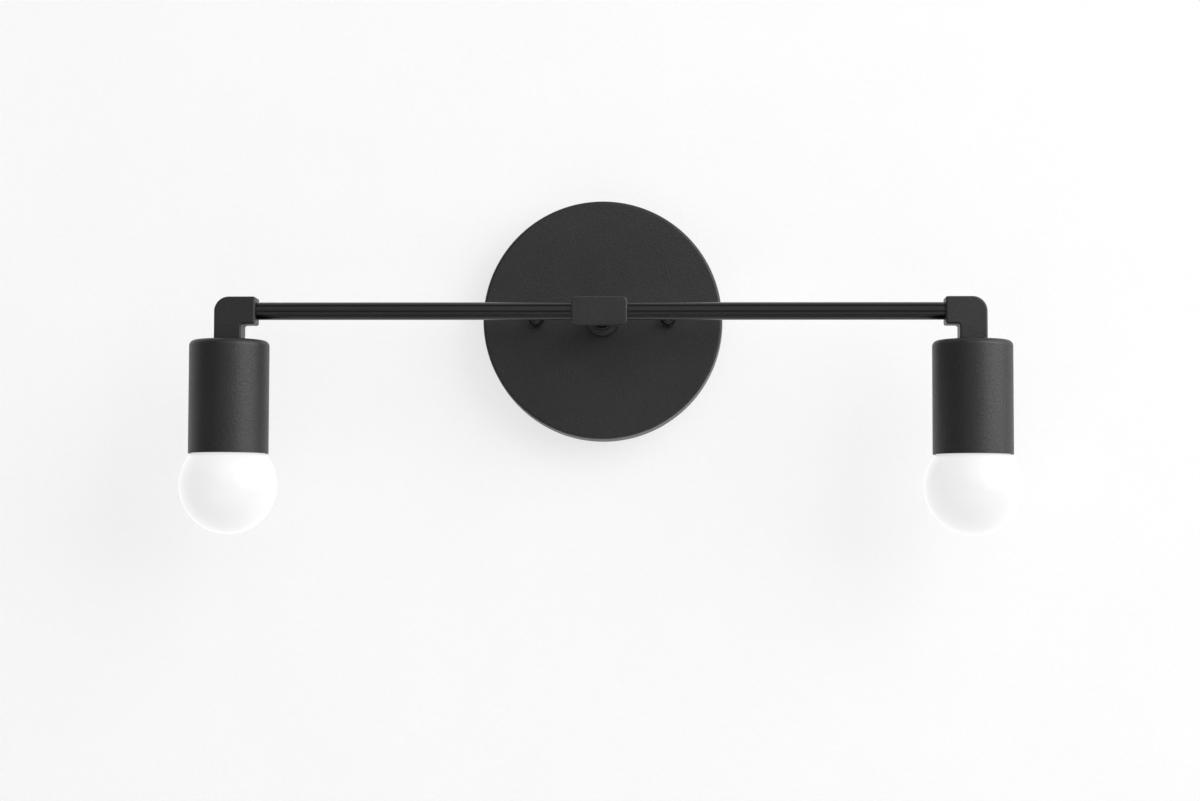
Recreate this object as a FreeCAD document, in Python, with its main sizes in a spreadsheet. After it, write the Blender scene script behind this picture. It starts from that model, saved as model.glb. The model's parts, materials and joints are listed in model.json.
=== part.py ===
"""Two-light vanity fixture with its bulbs, modelled in millimetres.

The origin is the centre of the canopy's back, on the wall. +X is right, +Z is up, and the
fixture stands out of the wall along -Y. Left and right are as seen from in front.
"""
import FreeCAD, Part
import math
import os
import re
import Sketcher

os.makedirs("parts", exist_ok=True)
doc = FreeCAD.newDocument("vanity_light")
Vector = FreeCAD.Vector
Placement = FreeCAD.Placement
Rotation = FreeCAD.Rotation

# Driving sizes. Every other length in the model is worked out from these.
SIZES = {
    # shared by several pieces
    "fit_gap": (0.05, "radial gap of screwed and pushed-in joints"),
    "hole_gap": (0.3, "radial play of a stud or a nipple in sheet metal"),
    "tool_overrun": (1.0, "how far a cut runs past the face that it opens"),
    # canopy on the wall
    "canopy_radius": (63.5, "radius of the canopy's front edge"),
    "canopy_flare": (0.6, "how much wider the canopy is at the wall"),
    "canopy_depth": (20.0, "from the wall to the canopy's face"),
    "canopy_wall": (1.0, "sheet thickness"),
    "canopy_edge": (1.5, "rounding of the front edge"),
    "canopy_rim_rounding": (0.4, "rounding of the edge at the wall"),
    # crossbar on the wall box
    "crossbar_end": (8.05, "from a box screw to the strap's end"),
    "crossbar_width": (16.0, "strap width"),
    "crossbar_thickness": (2.0, "strap thickness"),
    "crossbar_corner": (3.0, "corner radius"),
    "centre_hole_radius": (5.3, "hole in the middle of the crossbar"),
    "box_screw_spacing": (88.9, "distance between the box screws"),
    "box_slot_length": (9.0, "slot for a box screw, end to end"),
    "box_slot_width": (5.0, "slot for a box screw, side to side"),
    # studs, their lock nuts and the cap nuts
    "stud_spacing": (69.85, "distance between the two studs"),
    "stud_radius": (2.0, "outer radius of the stud's thread"),
    "stud_reach": (4.2, "how far a stud stands out of the canopy"),
    "stud_chamfer": (0.5, "chamfer at the stud's ends"),
    "stud_nut_flats": (7.2, "lock nut and cap nut, across flats"),
    "stud_nut_height": (3.2, "lock nut and hexagon of the cap nut"),
    "cap_nut_height": (8.0, "cap nut, overall"),
    "cap_nut_dome": (3.5, "radius of the cap nut's dome"),
    "cap_nut_bore": (5.5, "depth of the cap nut's thread"),
    "nut_chamfer_share": (0.577, "slope of the chamfer on the cap nut's corners"),
    # ground screw and its wire
    "ground_screw_share": (0.268, "its place on the crossbar, as a share of the canopy's radius"),
    "ground_screw_radius": (2.4, "outer radius of its thread"),
    "ground_head_radius": (4.2, "radius of its head"),
    "ground_head_height": (2.0, "height of its head"),
    # pipe-threaded nipples with their washers and nuts
    "nipple_radius": (4.86, "outer radius of the pipe thread"),
    "nipple_bore": (3.3, "bore radius"),
    "nipple_show": (2.2, "thread left over past the stem's lock nut"),
    "pipe_washer_radius": (8.0, "lock washer"),
    "pipe_washer_thickness": (0.8, "lock washer"),
    "pipe_nut_flats": (14.0, "lock nut, across flats"),
    "pipe_nut_height": (3.5, "lock nut"),
    # collar and stem
    "collar_flange_radius": (9.0, "where the collar stands on the canopy"),
    "collar_flange_thickness": (2.4, "up to the start of the taper"),
    "collar_taper_length": (2.6, "from the flange down to the neck"),
    "collar_neck_radius": (6.2, "neck in front"),
    "collar_length": (11.0, "overall"),
    "collar_seat": (5.0, "depth of the nipple's and of the tube's seat"),
    "collar_channel": (3.5, "channel between the two seats"),
    "collar_rounding": (0.8, "rounding of the flange and of the neck's end"),
    "arm_reach": (70.0, "from the wall to the arms' axis"),
    "tube_radius": (4.55, "stem and arm tubes, outside"),
    "tube_bore": (3.55, "stem and arm tubes, inside"),
    # tee
    "tee_width": (28.8, "along the arms"),
    "tee_height": (14.0, "up and down"),
    "tee_depth": (14.0, "front to back"),
    "tee_corner": (2.3, "rounding of its four corners as seen from in front"),
    "tee_rounding": (0.9, "rounding of its edges in front and behind"),
    "tee_arm_seat": (5.5, "how deep an arm tube sits in the tee"),
    "tee_stem_seat": (3.2, "how deep the stem tube sits in the tee"),
    "channel_radius": (3.6, "wire channel along the arms in the tee and the elbows"),
    "stem_channel_radius": (3.4, "wire channel from the stem into the tee"),
    # elbows
    "socket_offset": (190.5, "from the middle to each cup's axis"),
    "elbow_width": (14.1, "section of the elbow"),
    "elbow_reach": (14.1, "from the cup's axis to the elbow's inner end"),
    "elbow_drop": (15.15, "from the arm's axis to the cup's top"),
    "elbow_bend": (7.6, "outer corner"),
    "elbow_crook": (1.2, "inner corner"),
    "elbow_rounding": (1.0, "rounding of the long edges and of the ends"),
    "elbow_arm_seat": (5.5, "how deep an arm tube sits in the elbow"),
    "elbow_nipple_seat": (5.5, "how deep the nipple sits in the elbow"),
    # cups
    "cup_radius": (20.55, "outside"),
    "rim_gap": (0.5516, "between the globe and the rim, all round"),
    "cup_wall": (1.0, "sheet thickness"),
    "cup_edge": (3.0, "rounding of the top edge"),
    "cup_rim_rounding": (0.15, "rounding of the rim"),
    # bracket that carries the socket
    "bracket_width": (12.0, "strap width"),
    "bracket_length": (29.0, "front to back"),
    "bracket_thickness": (1.5, "strap thickness"),
    "bracket_corner": (2.5, "corner radius"),
    "bracket_nipple_show": (0.55, "thread left over below the bracket"),
    "bracket_screw_place": (11.0, "from the axis, front and back"),
    "bracket_screw_radius": (1.6, "outer radius of its thread"),
    "bracket_screw_grip": (8.0, "length of thread in the socket body"),
    "bracket_head_radius": (2.6, "radius of its head"),
    "bracket_head_height": (1.4, "height of its head"),
    "driver_slot_width": (0.8, "slot in every screw head"),
    "driver_slot_share": (0.5, "depth of the slot as a share of the head's height"),
    # socket
    "body_radius": (16.5, "porcelain, outside"),
    "body_length": (39.5, "porcelain, overall"),
    "body_rounding": (1.2, "rounding of the porcelain's rims"),
    "recess_length": (26.4, "wiring recess, left to right"),
    "recess_width": (13.0, "wiring recess, front to back"),
    "recess_depth": (9.05, "wiring recess"),
    "web_thickness": (3.5, "porcelain between recess and bulb"),
    "shell_bore": (13.35, "inside of the brass shell, between its threads"),
    "shell_wall": (0.5, "sheet thickness"),
    "shell_length": (25.5, "overall"),
    "shell_flange_hole": (8.0, "hole in the shell's flange"),
    "shell_gap": (0.1, "radial gap between shell and porcelain"),
    "contact_width": (5.0, "width of the sprung strip"),
    "contact_thickness": (0.5, "strip thickness"),
    "contact_drop": (3.1, "from the web to the face that the bulb presses"),
    "contact_half_length": (2.5, "half length of the pad that the bulb presses"),
    "contact_fold": (6.2, "from the axis to the fold of the spring"),
    "rivet_radius": (1.5, "rivet through the web"),
    "plate_thickness": (0.6, "terminal plates"),
    "plate_width": (8.0, "terminal plates, front to back"),
    "plate_outer": (12.6, "from the axis to a plate's outer end"),
    "plate_inner": (5.0, "from the axis to the neutral plate's inner end"),
    "terminal_place": (9.5, "from the axis to a terminal screw"),
    "terminal_screw_radius": (1.5, "outer radius of its thread"),
    "hot_screw_grip": (2.4, "thread of the hot screw in the web"),
    "terminal_head_radius": (2.8, "radius of its head"),
    "terminal_head_height": (1.6, "height of its head"),
    # threads that carry the bulb
    "thread_pitch": (3.6286, "seven turns to the inch"),
    "thread_height": (0.7, "from root to crest"),
    "thread_foot": (0.2, "how deep the ridge is rooted in its wall"),
    "bulb_ridge_width": (2.1, "ridge on the bulb's cap, at its foot"),
    "bulb_thread_turns": (3.5, "ridge on the bulb's cap"),
    "shell_ridge_width": (1.9, "ridge in the socket's shell, at its foot"),
    "shell_thread_turns": (3.5, "ridge in the socket's shell"),
    "thread_start": (20.3, "from the bulb's tip down to the first ridge"),
    # bulb
    "globe_radius": (25.0, "glass globe"),
    "globe_wall": (0.8, "glass thickness"),
    "neck_radius": (12.6, "glass neck in the cap"),
    "neck_blend": (7.5, "hollow curve from neck to globe"),
    "neck_seat": (3.7, "length of neck inside the cap"),
    "neck_tuck": (0.539, "how far inside the cap the neck starts to spread"),
    "cap_root": (12.35, "bulb's cap between its threads"),
    "cap_wall": (0.35, "sheet thickness"),
    "cap_skirt_radius": (13.0, "plain skirt below the thread"),
    "cap_skirt_length": (4.4, "plain skirt below the thread"),
    "cap_step": (0.8, "taper between thread and skirt"),
    "cap_length": (22.3, "from its lip to the end of its skirt"),
    "cap_shoulder": (2.0, "height of the taper under the lip"),
    "cap_lip": (9.1, "radius of the opening at the lip"),
    "insulator_height": (3.0, "black glass above the lip"),
    "insulator_top": (5.2, "its radius under the tip"),
    "insulator_plug": (0.9, "how deep it sits in the cap"),
    "tip_radius": (4.6, "solder tip"),
    "tip_face": (2.0, "flat on the solder tip"),
    "tip_height": (1.7, "solder tip"),
    "tip_side": (0.7, "straight side of the solder tip"),
    # leads and wire nuts
    "lead_radius": (1.05, "insulated lead"),
    "lead_gap": (0.2, "gap between two leads of a pair"),
    "lead_bend_socket": (5.0, "bend to the terminal"),
    "lead_bend_elbow": (5.0, "bend of the inner lead in the elbow"),
    "lead_bend_tee": (6.0, "bend in the tee"),
    "lead_bend_canopy": (5.0, "bend behind the stem"),
    "lead_sweep_share": (0.283, "wide bend inside the canopy, as a share of the canopy's radius"),
    "lead_clearance": (6.5, "from the wall to the leads in the canopy"),
    "lead_height_share": (0.47, "from the middle to the nuts' level, as a share of that radius"),
    "lead_end_gap": (0.1, "between a lead's end and the screw beside it"),
    "wire_nut_radius": (5.5, "at its mouth"),
    "wire_nut_tip_radius": (3.6, "at its closed end"),
    "wire_nut_length_share": (0.315, "overall, as a share of the canopy's radius"),
    "wire_nut_gap": (0.2, "around the leads inside a nut"),
    "wire_nut_end": (5.0, "plastic past the end of the bore"),
    "wire_nut_rounding": (1.2, "rounding of the closed end"),
    "wire_nut_place_share": (0.35, "from the middle to a lead nut's mouth, as a share of that radius"),
    "wire_nut_grip": (6.0, "length of lead inside a nut"),
    "ground_nut_place_share": (0.41, "from the middle to the ground nut's mouth, likewise"),
    "ground_lift": (8.0, "height at which the ground wire leaves the crossbar"),
    "ground_rise": (8.0, "height over which it comes forward"),
    "ground_bend": (6.0, "bend towards its nut"),
}

sheet = doc.addObject("Spreadsheet::Sheet", "Sizes")
for row, (alias, (value, note)) in enumerate(SIZES.items(), start=1):
    sheet.set(f"A{row}", alias)
    sheet.set(f"B{row}", str(value))
    sheet.set(f"C{row}", note)
    sheet.setAlias(f"B{row}", alias)
doc.recompute()

# Heights in a cup's own frame, from the arm's axis down. Each one is a formula in sizes.
WASHER_TOP = "(-(elbow_drop + cup_wall))"
NUT_TOP = f"({WASHER_TOP} - pipe_washer_thickness)"
BRACKET_TOP = f"({NUT_TOP} - pipe_nut_height)"
BODY_TOP = f"({BRACKET_TOP} - bracket_thickness)"
BODY_END = f"({BODY_TOP} - body_length)"
WEB_TOP = f"({BODY_TOP} - recess_depth)"
WEB_END = f"({WEB_TOP} - web_thickness)"
CONTACT_FACE = f"({WEB_END} - contact_drop)"
WIRE_LEVEL = f"({WEB_TOP} + plate_thickness + lead_radius)"
HEAD_SEAT = f"({WIRE_LEVEL} + lead_radius + fit_gap)"
TIP_END = f"({CONTACT_FACE} - tip_height)"
LIP_TOP = f"({TIP_END} - insulator_height)"
CAP_END = f"({LIP_TOP} - cap_length)"
BLEND_RISE = "sqrt((globe_radius + neck_blend)^2 - (neck_radius + neck_blend)^2)"
GLOBE_CENTRE = f"({CAP_END} + neck_tuck - {BLEND_RISE})"
CUP_MOUTH = f"({GLOBE_CENTRE} + sqrt(globe_radius^2 - (cup_radius - cup_wall - rim_gap)^2))"
RIDGE_LEVEL = f"({CONTACT_FACE} - thread_start)"

# Places on the wall box and inside the canopy, which follow the box screws and the canopy's radius.
CROSSBAR_HALF = "(box_screw_spacing / 2 + crossbar_end)"
GROUND_SCREW = "(canopy_radius * ground_screw_share)"
LEAD_SWEEP = "(canopy_radius * lead_sweep_share)"
LEAD_HEIGHT = "(canopy_radius * lead_height_share)"
NUT_LENGTH = "(canopy_radius * wire_nut_length_share)"
LEAD_NUT = "(canopy_radius * wire_nut_place_share)"
GROUND_NUT = "(canopy_radius * ground_nut_place_share)"

# Depths from the wall, in the fixture's frame, along -Y.
CANOPY_FACE = "(-canopy_depth)"
CANOPY_INSIDE = "(-canopy_depth + canopy_wall)"
COLLAR_FRONT = "(-canopy_depth - collar_length)"
NIPPLE_END = f"({CANOPY_INSIDE} + pipe_washer_thickness + pipe_nut_height + nipple_show)"
GROUND_SEAT = "(crossbar_thickness + 2 * lead_radius + fit_gap)"

ALONG = {
    "X": Rotation(Vector(0, 1, 0), 90),
    "Y": Rotation(Vector(1, 0, 0), -90),
    "Z": Rotation(),
}
TURN_ROUND = Rotation(Vector(0, 0, 1), 180)
made = []


def cells(formula):
    """The formula with every size's name turned into its cell in the sheet"""
    return re.sub(r"\b([a-z]+(?:_[a-z]+)+)\b", r"Sizes.\1", formula)


def number(formula):
    """The value of a formula at the sheet's present sizes"""
    return float(sheet.evalExpression(cells(formula)))


def bind(thing, **formulas):
    """Ties properties of an object to formulas in sizes"""
    for prop, formula in formulas.items():
        thing.setExpression(prop, cells(formula))


def place(thing, spot, turn=None):
    """Ties an object's position to three formulas and gives it a turn"""
    thing.Placement = Placement(Vector(*[number(f) for f in spot]), turn or Rotation())
    for letter, formula in zip("xyz", spot):
        thing.setExpression(f".Placement.Base.{letter}", cells(formula))


def new_body(name):
    """An empty body with its label"""
    body = doc.addObject("PartDesign::Body", name)
    body.Label = name
    return body


def keep(piece):
    """Marks a finished piece for writing"""
    made.append(piece)
    return piece


def sketch_on(body, role, name):
    """A sketch on one of the body's own origin planes"""
    plane = [f for f in body.Origin.OriginFeatures if f.Role == role][0]
    sketch = body.newObject("Sketcher::SketchObject", name)
    sketch.AttachmentSupport = (plane, [""])
    sketch.MapMode = "FlatFace"
    return sketch


def outline(sketch, corners):
    """Closed outline through corners. A corner is two formulas, or four where the stretch
    that ends in it is an arc: its own place, then the place of the arc's centre."""
    spots = [Vector(number(c[0]), number(c[1]), 0) for c in corners]
    ends = []
    for index, corner in enumerate(corners):
        start, end = spots[index - 1], spots[index]
        if len(corner) == 2:
            sketch.addGeometry(Part.LineSegment(start, end))
            ends.append((1, 2))
            continue
        arc, order = arc_between(start, end, Vector(number(corner[2]), number(corner[3]), 0))
        sketch.addGeometry(arc)
        ends.append(order)
    for index, corner in enumerate(corners):
        following = (index + 1) % len(corners)
        last, first = ends[index][1], ends[following][0]
        sketch.addConstraint(Sketcher.Constraint("Coincident", index, last, following, first))
        pin_point(sketch, index, last, corner)
        if len(corner) == 4:
            formula = f"sqrt(({corner[0]} - ({corner[2]}))^2 + ({corner[1]} - ({corner[3]}))^2)"
            at = sketch.addConstraint(Sketcher.Constraint("Radius", index, number(formula)))
            sketch.setExpression(f"Constraints[{at}]", cells(formula))


def arc_between(start, end, centre):
    """The shorter arc round a centre, and which of its ends comes first and last"""
    first, last = start - centre, end - centre
    order = (1, 2)
    if first.cross(last).z < 0:
        first, last = last, first
        order = (2, 1)
    begin = math.atan2(first.y, first.x)
    circle = Part.Circle(centre, Vector(0, 0, 1), first.Length)
    return Part.ArcOfCircle(circle, begin, begin + first.getAngle(last)), order


def pin_point(sketch, index, point, corner):
    """Ties one point of a sketch to its two formulas"""
    for kind, axis, formula in (("DistanceX", -2, corner[0]), ("DistanceY", -1, corner[1])):
        if formula == "0":
            sketch.addConstraint(Sketcher.Constraint("PointOnObject", index, point, axis))
            continue
        at = sketch.addConstraint(Sketcher.Constraint(kind, -1, 1, index, point, number(formula)))
        sketch.setExpression(f"Constraints[{at}]", cells(formula))


def turned(name, role, axis, corners):
    """A body turned about a sketch axis"""
    body = new_body(name)
    sketch = sketch_on(body, role, f"{name}_profile")
    outline(sketch, corners)
    turn = body.newObject("PartDesign::Revolution", f"{name}_turned")
    turn.Profile = sketch
    turn.ReferenceAxis = (sketch, [axis])
    turn.Angle = 360
    doc.recompute()
    return body


def turned_upright(name, corners):
    """A body turned about Z; corners are radius and height"""
    return turned(name, "XZ_Plane", "V_Axis", corners)


def turned_outward(name, corners):
    """A body turned about Y; corners are radius and depth"""
    return turned(name, "XY_Plane", "V_Axis", corners)


def grooved(body, name, corners):
    """Cuts an outline of radius and depth, turned about Y, out of the body"""
    sketch = sketch_on(body, "XY_Plane", f"{name}_outline")
    outline(sketch, corners)
    groove = body.newObject("PartDesign::Groove", name)
    groove.Profile = sketch
    groove.ReferenceAxis = (sketch, ["V_Axis"])
    groove.Angle = 360
    doc.recompute()


def padded(body, name, role, corners, depth):
    """Adds a pad of the outline, half of its depth to each side of the plane"""
    sketch = sketch_on(body, role, f"{name}_outline")
    outline(sketch, corners)
    pad = body.newObject("PartDesign::Pad", name)
    pad.Profile = sketch
    pad.SideType = "Symmetric"
    bind(pad, Length=depth)
    doc.recompute()
    return pad


def feature(body, kind, name, axis, spot, **sizes):
    """Adds or cuts a primitive; a cylinder or prism stands along the named axis"""
    thing = body.newObject(f"PartDesign::{kind}", name)
    place(thing, spot, ALONG[axis])
    bind(thing, **sizes)
    return thing


def drill(body, name, axis, spot, radius, depth):
    """Cuts a round hole from a spot along the named axis"""
    return feature(body, "SubtractiveCylinder", name, axis, spot, Radius=radius, Height=depth)


def edges_where(body, test):
    """Names of the edges of the body whose middle passes the test"""
    doc.recompute()
    names = []
    for index, edge in enumerate(body.Tip.Shape.Edges, start=1):
        middle = edge.valueAt((edge.FirstParameter + edge.LastParameter) / 2)
        if test(middle, edge):
            names.append(f"Edge{index}")
    return names


def dress(body, kind, name, test, size):
    """Fillets or chamfers the edges whose middle passes the test"""
    names = edges_where(body, test)
    if not names:
        raise RuntimeError(f"{body.Label}: no edge found for {name}")
    base = body.Tip
    thing = body.newObject(f"PartDesign::{kind}", name)
    thing.Base = (base, names)
    if kind == "Fillet":
        bind(thing, Radius=size)
    else:
        bind(thing, Size=size)
    body.Tip = thing
    doc.recompute()
    return thing


def near(value, formula):
    """Whether a coordinate lies at the place that a formula gives"""
    return abs(value - number(formula)) < number("fit_gap / 10")


def ring_at(radius, across, level):
    """Test for round edges of a given radius at a level along the turning axis"""
    def test(middle, edge):
        if not hasattr(edge.Curve, "Radius"):
            return False
        return near(edge.Curve.Radius, radius) and near(getattr(middle, across), level)
    return test


def hexagon(name, axis, spot, flats, height, bore):
    """A hexagon nut with a plain bore, standing on a spot"""
    body = new_body(name)
    prism = feature(body, "AdditivePrism", f"{name}_hexagon", axis, spot,
                    Circumradius=f"{flats} / sqrt(3)", Height=height)
    prism.Polygon = 6
    drill(body, f"{name}_bore", axis, spot, bore, height)
    return body


def pipe(name, axis, spot, length, radius, bore):
    """A plain tube from a spot along the named axis"""
    body = new_body(name)
    feature(body, "AdditiveCylinder", f"{name}_outside", axis, spot, Radius=radius, Height=length)
    drill(body, f"{name}_inside", axis, spot, bore, length)
    return body


def group(name, pieces):
    """Several like pieces as one sub-part"""
    compound = doc.addObject("Part::Compound", name)
    compound.Label = name
    compound.Links = pieces
    return compound


def slotted_screw(name, radius, head_radius, head_height, grip):
    """A screw that stands along Z, with the underside of its head at height 0"""
    body = turned_upright(name, [
        ("0", f"-({grip})"),
        (radius, f"-({grip})"),
        (radius, "0"),
        (head_radius, "0"),
        (head_radius, head_height),
        ("0", head_height),
    ])
    dress(body, "Fillet", f"{name}_crown", ring_at(head_radius, "z", head_height),
          f"{head_height} * driver_slot_share")
    feature(body, "SubtractiveBox", f"{name}_slot", "Z",
            (f"-{head_radius}", "-driver_slot_width / 2", f"{head_height} * (1 - driver_slot_share)"),
            Length=f"2 * {head_radius}", Width="driver_slot_width", Height=head_height)
    return body


def ridge(body, foot, crest, width, level, turns):
    """Adds a right-hand rounded ridge, wound upward from a level about Z"""
    sketch = sketch_on(body, "XZ_Plane", f"{body.Label}_ridge")
    half = f"({width}) / 2"
    rise = f"abs({crest} - ({foot}))"
    round_radius = f"((({half})^2 + ({rise})^2) / (2 * ({rise})))"
    side = "1" if number(crest) > number(foot) else "-1"
    centre = f"({crest} - {side} * {round_radius})"
    outline(sketch, [
        (foot, f"{level} - {half}"),
        (crest, level, centre, level),
        (foot, f"{level} + {half}", centre, level),
    ])
    helix = body.newObject("PartDesign::AdditiveHelix", f"{body.Label}_thread")
    helix.Profile = sketch
    helix.ReferenceAxis = (sketch, ["V_Axis"])
    helix.Mode = "pitch-turns-angle"
    bind(helix, Pitch="thread_pitch", Turns=turns)
    doc.recompute()


def route(points, bends):
    """Straight runs joined by tangent arcs, one bend radius for each inner point"""
    edges = []
    start = points[0]
    for index, bend in enumerate(bends, start=1):
        corner, following = points[index], points[index + 1]
        back = (points[index - 1] - corner).normalize()
        ahead = (following - corner).normalize()
        half_turn = (math.pi - back.getAngle(ahead)) / 2
        reach = bend * math.tan(half_turn)
        entry = corner + back * reach
        leave = corner + ahead * reach
        inward = (back + ahead).normalize()
        middle = corner + inward * (bend / math.cos(half_turn) - bend)
        edges.append(Part.LineSegment(start, entry).toShape())
        edges.append(Part.Arc(entry, middle, leave).toShape())
        start = leave
    edges.append(Part.LineSegment(start, points[-1]).toShape())
    return Part.Wire(edges)


def cable(name, points, bends):
    """A round lead along a route"""
    path = route(points, bends)
    radius = number("lead_radius")
    ring = Part.Wire(Part.makeCircle(radius, points[0], points[1] - points[0]))
    solid = path.makePipeShell([ring], True, False)
    ideal = math.pi * radius ** 2 * path.Length
    print(name, "length", round(path.Length, 1), "tightest bend", round(min(bends), 2),
          "volume to ideal", round(solid.Volume / ideal, 4))
    piece = doc.addObject("Part::Feature", name)
    piece.Label = name
    piece.Shape = solid
    piece.Placement = Placement()
    return keep(piece)


# Canopy: a pressed dish with a drafted side
def make_canopy():
    body = turned_outward("canopy", [
        ("nipple_radius + hole_gap", CANOPY_FACE),
        ("canopy_radius", CANOPY_FACE),
        ("canopy_radius + canopy_flare", "0"),
        ("canopy_radius + canopy_flare - canopy_wall", "0"),
        ("canopy_radius - canopy_wall", CANOPY_INSIDE),
        ("nipple_radius + hole_gap", CANOPY_INSIDE),
    ])
    dress(body, "Fillet", "canopy_front_edge", ring_at("canopy_radius", "y", CANOPY_FACE), "canopy_edge")
    dress(body, "Fillet", "canopy_inner_edge",
          ring_at("canopy_radius - canopy_wall", "y", CANOPY_INSIDE), "canopy_edge - canopy_wall")
    dress(body, "Fillet", "canopy_rim",
          ring_at("canopy_radius + canopy_flare", "y", "0"), "canopy_rim_rounding")
    for side, way in (("left", "-1"), ("right", "1")):
        drill(body, f"{side}_stud_hole", "Y",
              (f"{way} * stud_spacing / 2", f"{CANOPY_FACE} - tool_overrun", "0"),
              "stud_radius + hole_gap", "canopy_wall + 2 * tool_overrun")
    return keep(body)


# Crossbar: a flat strap that lies on the wall box
def make_crossbar():
    body = new_body("crossbar")
    feature(body, "AdditiveBox", "strap", "Z",
            (f"-{CROSSBAR_HALF}", "-crossbar_thickness", "-crossbar_width / 2"),
            Length=f"2 * {CROSSBAR_HALF}", Width="crossbar_thickness", Height="crossbar_width")
    dress(body, "Fillet", "strap_corners",
          lambda middle, edge: near(abs(middle.x), CROSSBAR_HALF) and near(
              abs(middle.z), "crossbar_width / 2"), "crossbar_corner")
    through = "crossbar_thickness + 2 * tool_overrun"
    back = "-crossbar_thickness - tool_overrun"
    drill(body, "centre_hole", "Y", ("0", back, "0"), "centre_hole_radius", through)
    drill(body, "ground_hole", "Y", (f"-{GROUND_SCREW}", back, "0"),
          "ground_screw_radius + fit_gap", through)
    for side, way in (("left", "-1"), ("right", "1")):
        drill(body, f"{side}_stud_thread", "Y", (f"{way} * stud_spacing / 2", back, "0"),
              "stud_radius + fit_gap", through)
        middle = f"{way} * box_screw_spacing / 2"
        straight = "(box_slot_length - box_slot_width)"
        for end, share in (("inner", "-1"), ("outer", "1")):
            drill(body, f"{side}_slot_{end}_end", "Y",
                  (f"{middle} + {share} * {straight} / 2", back, "0"), "box_slot_width / 2", through)
        feature(body, "SubtractiveBox", f"{side}_slot_middle", "Z",
                (f"{middle} - {straight} / 2", back, "-box_slot_width / 2"),
                Length=straight, Width=through, Height="box_slot_width")
    return keep(body)


# Studs, lock nuts and cap nuts, one of each to the left and to the right
def make_stud_set():
    studs, locks, caps = [], [], []
    length = "canopy_depth + stud_reach"
    for side, way in (("left", "-1"), ("right", "1")):
        across = f"{way} * stud_spacing / 2"
        stud = new_body(f"{side}_stud")
        feature(stud, "AdditiveCylinder", f"{side}_stud_rod", "Y",
                (across, f"-({length})", "0"), Radius="stud_radius", Height=length)
        dress(stud, "Chamfer", f"{side}_stud_ends",
              lambda middle, edge: hasattr(edge.Curve, "Radius"), "stud_chamfer")
        studs.append(stud)
        locks.append(hexagon(f"{side}_stud_nut", "Y",
                             (across, "-crossbar_thickness - stud_nut_height", "0"),
                             "stud_nut_flats", "stud_nut_height", "stud_radius + fit_gap"))
        cap = turned_outward(f"{side}_cap_nut", [
            ("0", CANOPY_FACE),
            ("cap_nut_dome", CANOPY_FACE),
            ("cap_nut_dome", f"{CANOPY_FACE} - cap_nut_height + cap_nut_dome"),
            ("0", f"{CANOPY_FACE} - cap_nut_height", "0", f"{CANOPY_FACE} - cap_nut_height + cap_nut_dome"),
        ])
        hexagonal = feature(cap, "AdditivePrism", f"{side}_cap_hexagon", "Y",
                            ("0", f"{CANOPY_FACE} - stud_nut_height", "0"),
                            Circumradius="stud_nut_flats / sqrt(3)", Height="stud_nut_height")
        hexagonal.Polygon = 6
        corner = "(stud_nut_flats / sqrt(3) + tool_overrun)"
        front = f"({CANOPY_FACE} - stud_nut_height)"
        grooved(cap, f"{side}_cap_corners", [
            ("stud_nut_flats / 2", front),
            (corner, front),
            (corner, f"{front} + ({corner} - stud_nut_flats / 2) * nut_chamfer_share"),
        ])
        drill(cap, f"{side}_cap_thread", "Y", ("0", f"{CANOPY_FACE} - cap_nut_bore", "0"),
              "stud_radius + fit_gap", "cap_nut_bore")
        place(cap, (across, "0", "0"))
        caps.append(cap)
    keep(group("canopy_studs", studs))
    keep(group("stud_lock_nuts", locks))
    keep(group("cap_nuts", caps))


# Ground screw in the crossbar
def make_ground_screw():
    body = slotted_screw("ground_screw", "ground_screw_radius", "ground_head_radius",
                         "ground_head_height", GROUND_SEAT)
    place(body, (f"-{GROUND_SCREW}", f"-{GROUND_SEAT}", "0"), Rotation(Vector(1, 0, 0), 90))
    return keep(body)


# Nipple, washer and nut that clamp the collar to the canopy
def make_stem_fixing():
    length = f"{NIPPLE_END} - ({CANOPY_FACE} - collar_seat)"
    keep(pipe("stem_nipple", "Y", ("0", f"{CANOPY_FACE} - collar_seat", "0"), length,
              "nipple_radius", "nipple_bore"))
    keep(pipe("stem_lock_washer", "Y", ("0", CANOPY_INSIDE, "0"), "pipe_washer_thickness",
              "pipe_washer_radius", "nipple_radius + fit_gap"))
    keep(hexagon("stem_lock_nut", "Y", ("0", f"{CANOPY_INSIDE} + pipe_washer_thickness", "0"),
                 "pipe_nut_flats", "pipe_nut_height", "nipple_radius + fit_gap"))


# Collar: a turned neck, screwed on the nipple behind and holding the stem in front
def make_collar():
    tube_hole = "tube_radius + fit_gap"
    thread = "nipple_radius + fit_gap"
    body = turned_outward("stem_collar", [
        (thread, CANOPY_FACE),
        ("collar_flange_radius", CANOPY_FACE),
        ("collar_flange_radius", f"{CANOPY_FACE} - collar_flange_thickness"),
        ("collar_neck_radius", f"{CANOPY_FACE} - collar_flange_thickness - collar_taper_length"),
        ("collar_neck_radius", COLLAR_FRONT),
        (tube_hole, COLLAR_FRONT),
        (tube_hole, f"{COLLAR_FRONT} + collar_seat"),
        ("collar_channel", f"{COLLAR_FRONT} + collar_seat"),
        ("collar_channel", f"{CANOPY_FACE} - collar_seat"),
        (thread, f"{CANOPY_FACE} - collar_seat"),
    ])
    dress(body, "Fillet", "flange_edge",
          ring_at("collar_flange_radius", "y", f"{CANOPY_FACE} - collar_flange_thickness"), "collar_rounding")
    dress(body, "Fillet", "neck_end", ring_at("collar_neck_radius", "y", COLLAR_FRONT), "collar_rounding")
    return keep(body)


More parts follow.
